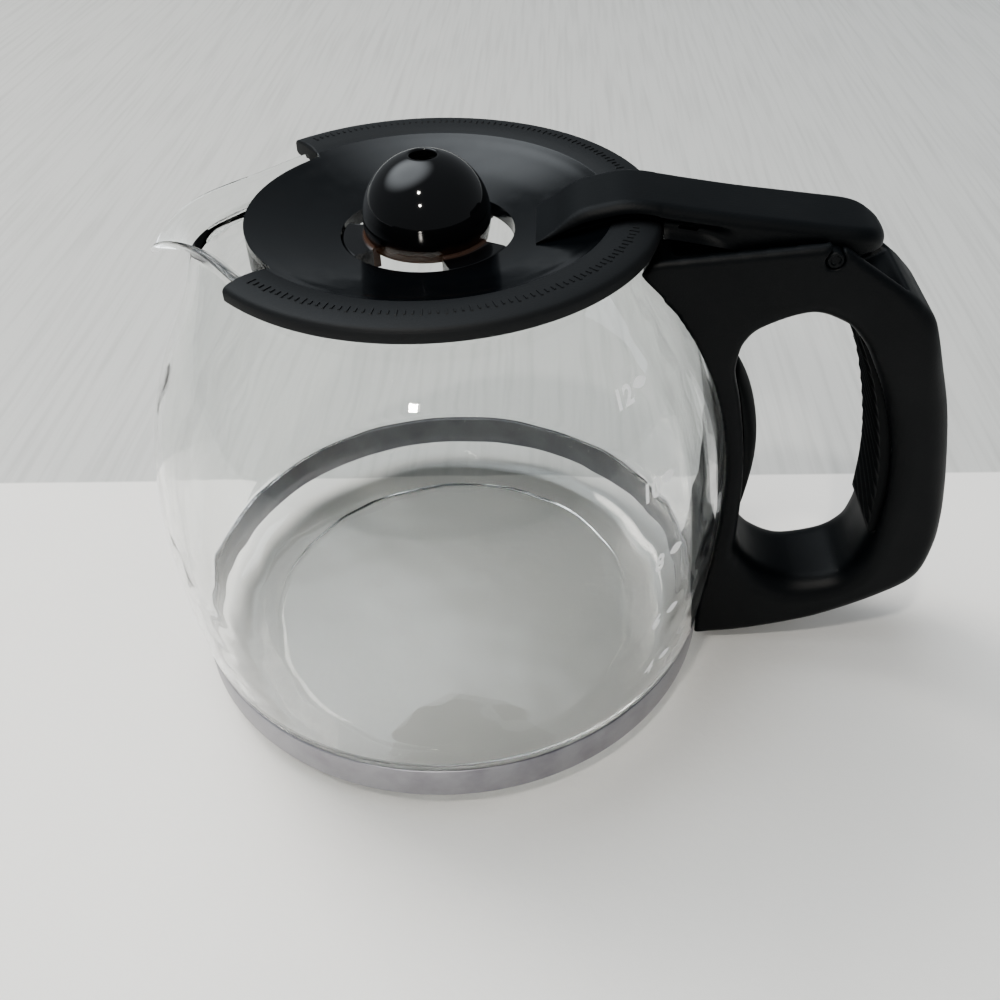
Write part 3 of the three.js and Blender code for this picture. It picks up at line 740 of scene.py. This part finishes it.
def ribbed_strip():
    """A strip along the grip line. On its face the height is a row of narrow ridges: the rib height
    times a cosine of the distance across the slant, to the power 6, fading out at all four edges."""
    ends = np.linspace(0, 1, len(grip_line))
    fine = np.linspace(0, 1, 420)
    line = np.stack([np.interp(fine, ends, grip_line[:, i]) for i in (0, 1)], 1)
    run = np.concatenate([[0], np.cumsum(np.hypot(*np.diff(line, axis=0).T))])
    across = np.linspace(-1, 1, 41) * grip_width / 2
    slanted = run[:, None] * math.cos(rib_slant) + across * math.sin(rib_slant)
    fade = np.clip(np.minimum(run, run[-1] - run) / 3, 0, 1)[:, None]
    fade = fade * np.clip((grip_width / 2 - np.abs(across)) / 2.5, 0, 1)
    ridge = rib_height * np.abs(np.cos(np.pi * slanted / rib_pitch)) ** 6 * fade
    face = [sideways(line, -1.0)[:, i, None] - line[:, i, None] for i in (0, 1)]
    x = line[:, :1] + face[0] * (grip_proud + ridge)
    z = line[:, 1:] + face[1] * (grip_proud + ridge)
    front = np.stack([x, across + 0 * x, z], -1)
    back_x, back_z = (sideways(line, grip_thickness)[:, i, None] + 0 * across for i in (0, 1))
    back = np.stack([back_x, across[::-1] + 0 * x, back_z], -1)
    loops = np.concatenate([front, back], 1)
    ends = loops.mean(1, keepdims=True) + 0 * loops
    return skin("ribbed_insert", np.concatenate([ends[:1], loops, ends[-1:]]))


soft = elastomer()
install(ribbed_strip(), soft, "jug", "soft_black", "grip_insert")

# ------------------------------------------------------------------ knuckle pad
# Soft pad snapped to the inner post, with an oval section that swells in the middle, where the backs of
# the fingers rest.


def pad_body():
    """Half an oval in section. Along the post it grows from 0.5 mm high to the full bulge as a sine to
    the power 0.6, and from 0.55 of its full width to all of it as a sine's square root."""
    bulge, width = 4.4, 22.0
    line = spline(sideways(knuckle_line, -gap)[6:-6:4], 6)
    wave = np.sin(np.pi * np.linspace(0, 1, len(line)))
    height = 0.5 + (bulge - 0.5) * wave ** 0.6
    half = width / 2 * (0.55 + 0.45 * np.sqrt(wave))
    a = np.linspace(0, np.pi, 33)
    outward = sideways(line, -1.0) - line
    rise = height[:, None] * np.sin(a)
    x = line[:, :1] + outward[:, :1] * rise
    z = line[:, 1:] + outward[:, 1:] * rise
    loops = np.stack([x, -half[:, None] * np.cos(a), z], -1)
    back = np.linspace(loops[:, -1], loops[:, 0], 8, axis=1)[:, 1:-1]
    loops = np.concatenate([loops, back], 1)
    ends = loops.mean(1, keepdims=True) + 0 * loops
    return skin("knuckle_pad_soft", np.concatenate([ends[:1], loops, ends[-1:]]))


install(pad_body(), soft, "jug", "soft_black", "knuckle_pad")

# ------------------------------------------------------------------ lid dish
# Round lid moulded in black polypropylene. Its dish is polished so that drips run to the middle, its
# raised rim is satin with a ring of fine moulded ticks, and the rim is cut away over the spout.

lid_radius = cad_box("lid_dish")[1][0]
lid_top = rim + gap
dish_edge = lid_top + 1
dish_radius = 42.0
rim_depth = 2.9
well_radius = 20.5
well_top = dish_edge - 5.6
well_bottom = well_top - 3.4
cutaway_half = 44.5


def axis_distance(tree, where):
    """Distance of a place from the jug's upright axis."""
    apart = add_node(tree, "ShaderNodeSeparateXYZ", None, {"Vector": where})
    flat = add_node(tree, "ShaderNodeCombineXYZ", None, {axis: apart.outputs[axis] for axis in "XY"})
    length = add_node(tree, "ShaderNodeVectorMath", {"operation": "LENGTH"}, {0: flat.outputs["Vector"]})
    return length.outputs["Value"]


def two_finish_black():
    """Black polypropylene from one mould with two finishes: polished inside the dish, with dust, and
    spark-grained satin on the rim beyond it. The boundary is a ring 0.3 mm wide."""
    material, tree, shader = new_material(
        "polished_and_satin_polypropylene", Base_Color=srgb("#080b0e"), Specular_IOR_Level=0.4)
    where = object_position(tree)
    on_rim = remap(tree, axis_distance(tree, where), (dish_radius + 1.2) / 1000, (dish_radius + 1.5) / 1000)
    rough = add_node(tree, "ShaderNodeMix", None, {
        "Factor": on_rim, "A": remap(tree, noise(tree, where, 260.0, 6.0), 0.35, 0.75, 0.1, 0.2), "B": 0.6})
    grain = calculated(tree, "MULTIPLY", noise(tree, where, 2400.0), on_rim)
    dress(tree, shader, (grain, 0.35, 0.00012), Roughness=rough.outputs["Result"])
    return material


lid_face = spline([
    (well_radius, well_top), (well_radius + 9, well_top + 1.9), (dish_radius - 4, dish_edge - 1.3),
    (dish_radius, dish_edge), (dish_radius + 4, dish_edge + 1.1), (lid_radius - 4.5, dish_edge + 1.3),
    (lid_radius - 1, dish_edge + 0.7), (lid_radius, dish_edge - 0.3)], 10)


def step(value, start, end):
    """Smooth step: t squared times (3 - 2 t), t running from 0 at start to 1 at end."""
    t = np.clip((value - start) / (end - start), 0, 1)
    return t * t * (3 - 2 * t)


def crowded(edges, reach, fine, coarse):
    """Angles in degrees round a full turn: fine steps within reach of each edge, coarse ones elsewhere."""
    angles = np.arange(-180, 180, coarse)
    near = np.concatenate([np.arange(edge - reach, edge + reach, fine) for edge in edges])
    angles = angles[np.min(np.abs(angles[:, None] - np.array(edges)), 1) > reach]
    return np.sort(np.concatenate([angles, near]))


def lid_surface():
    """The lid as a turned profile whose radius, beyond the dish, shrinks to the dish's own inside the
    spout's cutaway. The change is a smooth step of 1.6 degrees, which rounds the two corners."""
    edges = (-180 + cutaway_half, 180 - cutaway_half)
    angles = crowded(edges, 1.6, 0.1, 1.5)
    open_rim = step(180 - np.abs(angles), cutaway_half - 0.8, cutaway_half + 0.8)
    low = dish_edge - rim_depth
    skirt = waist - glass_wall - 0.9
    moulding = 2.0
    outer = [
        (lid_radius, low + 0.5), (lid_radius - 0.5, low), (lid_radius - 1.5, low),
        (lid_radius - 1.5, lid_top), (skirt, lid_top), (skirt, rim - 6.4), (skirt - moulding, rim - 6.4),
        (skirt - moulding, dish_edge - moulding - 0.2)]
    inner = [
        (dish_radius - 4, dish_edge - moulding - 1.4), (well_radius + 9, well_top + 1.9 - moulding),
        (well_radius + 2, well_top - moulding), (well_radius + 2, well_bottom), (well_radius, well_bottom)]
    profile = np.vstack([lid_face, outer, inner])
    edge_bottom = dish_edge - 1.7
    r, z = profile[:, 0, None], profile[:, 1, None]
    beyond = r > dish_radius
    r = np.where(beyond, dish_radius + (r - dish_radius) * open_rim, r)
    face = np.arange(len(profile))[:, None] < len(lid_face)
    shut = np.where(face, np.minimum(z, dish_edge), np.minimum(edge_bottom, z))
    z = np.where(beyond, shut + (z - shut) * open_rim, z + 0 * r)
    a = np.radians(angles)
    return skin("lid_moulding", np.stack([r * np.cos(a), r * np.sin(a), z], -1), closed_columns=True)


two_finish = two_finish_black()
install(lid_surface(), two_finish, "lid", "gloss_black", "lid_dish")


def rim_ticks():
    """Small raised bars round the rim, one each 1.9 degrees and every third one longer, except over
    the spout and under the arm. Each is a tapered block standing on the rim's face."""
    azimuth = np.arange(-131, 132, 1.9)
    azimuth = azimuth[np.abs(azimuth) > 15]
    long = np.where(np.arange(len(azimuth)) % 3 == 0, 1.35, 0.85)
    middle, thick, high = lid_radius - 5.2, 0.28, 0.22
    corners = np.array([(-1, -1), (1, -1), (1, 1), (-1, 1)])
    points = []
    for level, taper in ((-0.15, 1.0), (high, 0.7)):
        radius = middle + corners[:, 0] * long[:, None] * taper
        angle = np.radians(azimuth)[:, None] + corners[:, 1] * thick * taper / middle
        z = np.interp(radius, lid_face[:, 0], lid_face[:, 1]) + level
        points.append(np.stack([radius * np.cos(angle), radius * np.sin(angle), z], -1))
    points = np.concatenate(points, 1)
    block = np.array([(0, 1, 2, 3), (4, 5, 6, 7), (0, 1, 5, 4), (1, 2, 6, 5), (2, 3, 7, 6), (3, 0, 4, 7)])
    faces = (block[None] + 8 * np.arange(len(azimuth))[:, None, None]).reshape(-1, 4)
    return solid_from("rim_ticks", points.reshape(-1, 3), faces.tolist())


install(rim_ticks(), two_finish, "lid", "gloss_black")

# ------------------------------------------------------------------ drip dome
# Hollow polished dome snapped into the well. The brew runs off it through three arc slots, which its
# three lugs leave open, and steam leaves by the hole in its crown. Old coffee has browned its foot.

dome_radius = 15.0
dome_hole = 3.1
dome_centre = well_top + 3.7
dome_foot = well_top - 1.2
slot_centres = np.array([14, 134, 254])
slot_half = 34.0


def stained_black():
    """Polished black polypropylene, near mirror, with a film of dried coffee on the skirt's foot:
    brown and duller, its edge wandering a few millimetres up and down. The lugs are clean."""
    material, tree, shader = new_material("polished_polypropylene_stained")
    where = object_position(tree)
    height = add_node(tree, "ShaderNodeSeparateXYZ", None, {"Vector": where}).outputs["Z"]
    edge = add_node(tree, "ShaderNodeMath", {"operation": "MULTIPLY_ADD"}, {
        0: noise(tree, where, 220.0, 4.0), 1: 0.003, 2: height})
    film = remap(
        tree, edge.outputs["Value"], (well_top + 1.8) / 1000, (well_top + 4.2) / 1000, 1.0, 0.0)
    on_skirt = remap(
        tree, axis_distance(tree, where), dome_radius / 1000, (dome_radius + 0.6) / 1000, 1.0, 0.0)
    stain = calculated(tree, "MULTIPLY", film, on_skirt)
    dress(tree, shader, Base_Color=blend(tree, stain, srgb("#0d0e10"), srgb("#3a2415")),
          Roughness=remap(tree, stain, 0, 1, 0.06, 0.3))
    return material


def dome_surface():
    """A sphere with a rounded hole at its crown, going down into a skirt. The lug's rows stand out from
    the skirt by their own reach times a smooth step in angle, so that they vanish in the slots."""
    lug_centres = slot_centres + 60
    edges = np.concatenate([lug_centres - 60 + slot_half, lug_centres + 60 - slot_half])
    edges = (edges + 180) % 360 - 180
    angles = crowded(edges, 2.4, 0.15, 2.0)
    off = np.abs((angles[:, None] - lug_centres + 180) % 360 - 180).min(1)
    lug = 1 - step(off, 60 - slot_half - 1.6, 60 - slot_half)
    skirt = dome_radius - 0.7
    thin = 1.6
    crown = math.degrees(math.acos((dome_hole + 0.5) / dome_radius))
    foot = -math.degrees(math.acos((skirt + 0.15) / dome_radius))
    ball = arc((0, dome_centre), dome_radius, crown, foot, 48)
    lip_height = dome_centre + dome_radius * math.sin(math.radians(crown)) - 0.5
    lip = arc((dome_hole + 0.5, lip_height), 0.5, 180, 90, 5)
    lug_face = spline([
        (skirt + 0.3, well_top + 0.5), (skirt + 0.8, well_top - 0.05), (skirt + 1.8, well_top - 0.35),
        (well_radius - 1.2, well_top - 0.3), (well_radius - gap - 0.3, well_top - 0.35),
        (well_radius - gap, well_top - 0.7)], 5)
    lug_low = [(well_radius - gap, well_bottom - gap), (well_radius + 1.8, well_bottom - gap),
               (well_radius + 1.8, well_bottom - gap - 1.4), (skirt - 1, well_bottom - gap - 1.4),
               (skirt - 1, dome_foot)]
    tube = [(skirt - thin + 0.3, dome_foot), (skirt - thin, dome_foot + 0.4)]
    hollow = dome_radius - 1.8
    inner = arc((0, dome_centre), hollow, 0, math.degrees(math.acos(dome_hole / hollow)), 24)
    profile = np.vstack([lip, ball[ball[:, 1] > well_top + 0.6], lug_face, lug_low, tube, inner])
    r, z = profile[:, 0, None], profile[:, 1, None]
    first = len(lip) + np.sum(ball[:, 1] > well_top + 0.6)
    row = np.arange(len(profile))[:, None]
    on_lug = (row >= first) & (row < first + len(lug_face) + len(lug_low))
    ball_here = np.sqrt(np.maximum(dome_radius ** 2 - (z - dome_centre) ** 2, skirt ** 2))
    shut = np.where(z > well_top - 0.5, ball_here, skirt)
    r = np.where(on_lug, shut + (r - shut) * lug, r + 0 * lug)
    shut = np.maximum(z, dome_foot)
    z = np.where(on_lug, shut + (z - shut) * lug, z + 0 * lug)
    a = np.radians(angles)
    return skin("dome_moulding", np.stack([r * np.cos(a), r * np.sin(a), z], -1), closed_columns=True)


install(dome_surface(), stained_black(), "lid", "gloss_black", "drip_dome")

# ------------------------------------------------------------------ lid arm
# A separate satin black moulding staked into the dish. It bridges the rim as a broad smooth strap with
# concave flanks and ends in the rounded tail that the thumb presses down.

arm_root = well_radius + 5
arm_end = cad_box("lid_arm")[1][0]
arm_top = spline([
    (arm_root - 0.5, well_top + 1.3), (arm_root, well_top + 1.6), (arm_root + 4, well_top + 4.4),
    (arm_root + 9, well_top + 8.4), (arm_root + 14.5, dish_edge + 4.6), (lid_radius - 7, dish_edge + 5.6),
    (lid_radius + 6, dish_edge + 3.7), (pin_x - 20, pin_z + 8.1), (pin_x - 4, pin_z + 6.2),
    (pin_x + 6.5, pin_z + 4.9), (pin_x + 10.8, pin_z + 3.6), (pin_x + 13.6, pin_z + 2.4)], 8)
arm_bottom = np.array([
    (arm_root - 1, well_top - 2), (lid_radius + 0.7, dish_edge - 3.6), (lid_radius + 4.8, dish_edge - 4.2),
    (pin_x - 4.6, pin_z - 3.4), (pin_x - 2.5, pin_z - 4.4), (pin_x, pin_z - 4.8),
    (pin_x + 2.2, pin_z - 3.9), (pin_x + 4.4, pin_z - 2.4), (pin_x + 7, pin_z - 1.2),
    (pin_x + 14, pin_z - 0.9)])


def arm_plan():
    """Half of the arm's outline from above: the straight root, a straight side and a tail whose end is
    a superellipse, |x|^2.6 + |y|^2.6 = 1, scaled to 11 mm and half the width."""
    root = np.stack([np.full(9, arm_root), np.linspace(0, arm_half, 9)], 1)
    tail = 11.0
    side_x = np.linspace(arm_root, arm_end - tail, 130)[1:]
    side = np.stack([side_x, np.full(len(side_x), arm_half)], 1)
    a = np.linspace(0, np.pi / 2, 26)[1:]
    end = np.stack([arm_end - tail + tail * np.sin(a) ** (2 / 2.6), arm_half * np.cos(a) ** (2 / 2.6)], 1)
    return np.vstack([root, side, end])


def lid_height(x, y):
    """Height of the lid's face under a point, plus the clearance; nothing beyond the rim."""
    radius = np.hypot(x, y)
    return np.where(radius < lid_radius + gap, np.interp(radius, lid_face[:, 0], lid_face[:, 1]) + gap, -1)


def arm_body():
    """Rings of the plan, each drawn in from the outline: from the spine over the top, round an edge of
    up to 2.6 mm, down the flank, and back below to the spine. The flank is drawn in by a half sine of
    its height, up to 2.2 mm, from the root to just past the rim of the lid."""
    half = arm_plan()
    spine = np.clip(half[:, 0], arm_root + 0.01, arm_end - arm_half)
    inward = np.stack([spine - half[:, 0], -half[:, 1]], 1)
    reach = np.hypot(*inward.T)
    reach[reach < 1e-6] = 1
    inward /= reach[:, None]
    thick = np.interp(half[:, 0], *arm_top.T) - np.maximum(
        np.interp(half[:, 0], *arm_bottom.T), lid_height(half[:, 0], half[:, 1]))
    edge = np.minimum(2.6, 0.6 * np.maximum(thick, 0.05))
    low_edge = np.minimum(0.8, 0.3 * np.maximum(thick, 0.05))
    waist_in = 2.2 * step(half[:, 0], arm_root + 2, arm_root + 14) * (1 - step(half[:, 0], 62, 72))

    def ring(inset, from_top, share_to_spine=0.0):
        """Points at an inset; from_top is a depth below the top, or None for the underside."""
        place = half + inward * np.minimum(inset, reach * 0.98)[:, None]
        place = place + (np.stack([spine, 0 * spine], 1) - place) * share_to_spine
        top = np.interp(place[:, 0], *arm_top.T)
        floor = np.maximum(np.interp(place[:, 0], *arm_bottom.T), lid_height(*place.T))
        z = floor if from_top is None else np.maximum(top - from_top, floor + 0.02)
        return np.column_stack([place, z])

    rings = [ring(edge, 0 * edge, s) for s in (1, 0.85, 0.65, 0.45, 0.25, 0.1)]
    for a in np.radians(np.linspace(90, 0, 9)):
        rings.append(ring(edge * (1 - math.cos(a)), edge * (1 - math.sin(a))))
    wall = np.maximum(thick - edge - low_edge, 0)
    for s in np.linspace(0, 1, 9)[1:]:
        rings.append(ring(waist_in * math.sin(math.pi * s) + 0 * edge, edge + wall * s))
    rings.append(ring(low_edge, None))
    rings += [ring(low_edge, None, s) for s in (0.3, 0.65, 1)]
    rings = np.stack(rings)
    other = rings[:, ::-1] * (1, -1, 1)
    return skin("arm_moulding", np.concatenate([rings, other[:, 1:-1]], 1))


arm_hollow = np.array([
    (lid_radius + 3, 100), (lid_radius + 3, dish_edge + 1.8), (pin_x - 20, pin_z + 5.8),
    (pin_x - 7, pin_z + 4.2), (pin_x - 7, 100)])
arm = carved(arm_body(), prism("arm_hollow", arm_hollow, arm_half - 2.2))
install(arm, plastic, "lid", "satin_black", "lid_arm")

# ------------------------------------------------------------------ hinge pin
# A plain black pin, chamfered at both ends, pressed through the arm and free in the handle's ears.


def pin_body():
    """The pin's half section as (radius, distance along y), turned about the hinge axis."""
    half = cad_box("hinge_pin")[1][1]
    section = np.array([(0, -half + 0.3), (1.0, -half + 0.3), (1.2, -half), (pin_radius - 0.3, -half),
                        (pin_radius, -half + 0.3)])
    section = np.vstack([section, section[::-1] * (1, -1)])
    rows = turned(section, 48)
    return skin("hinge_pin_moulded", rows[..., [0, 2, 1]] + (pin_x, 0, pin_z))


install(pin_body(), plastic, "lid", "satin_black", "hinge_pin")
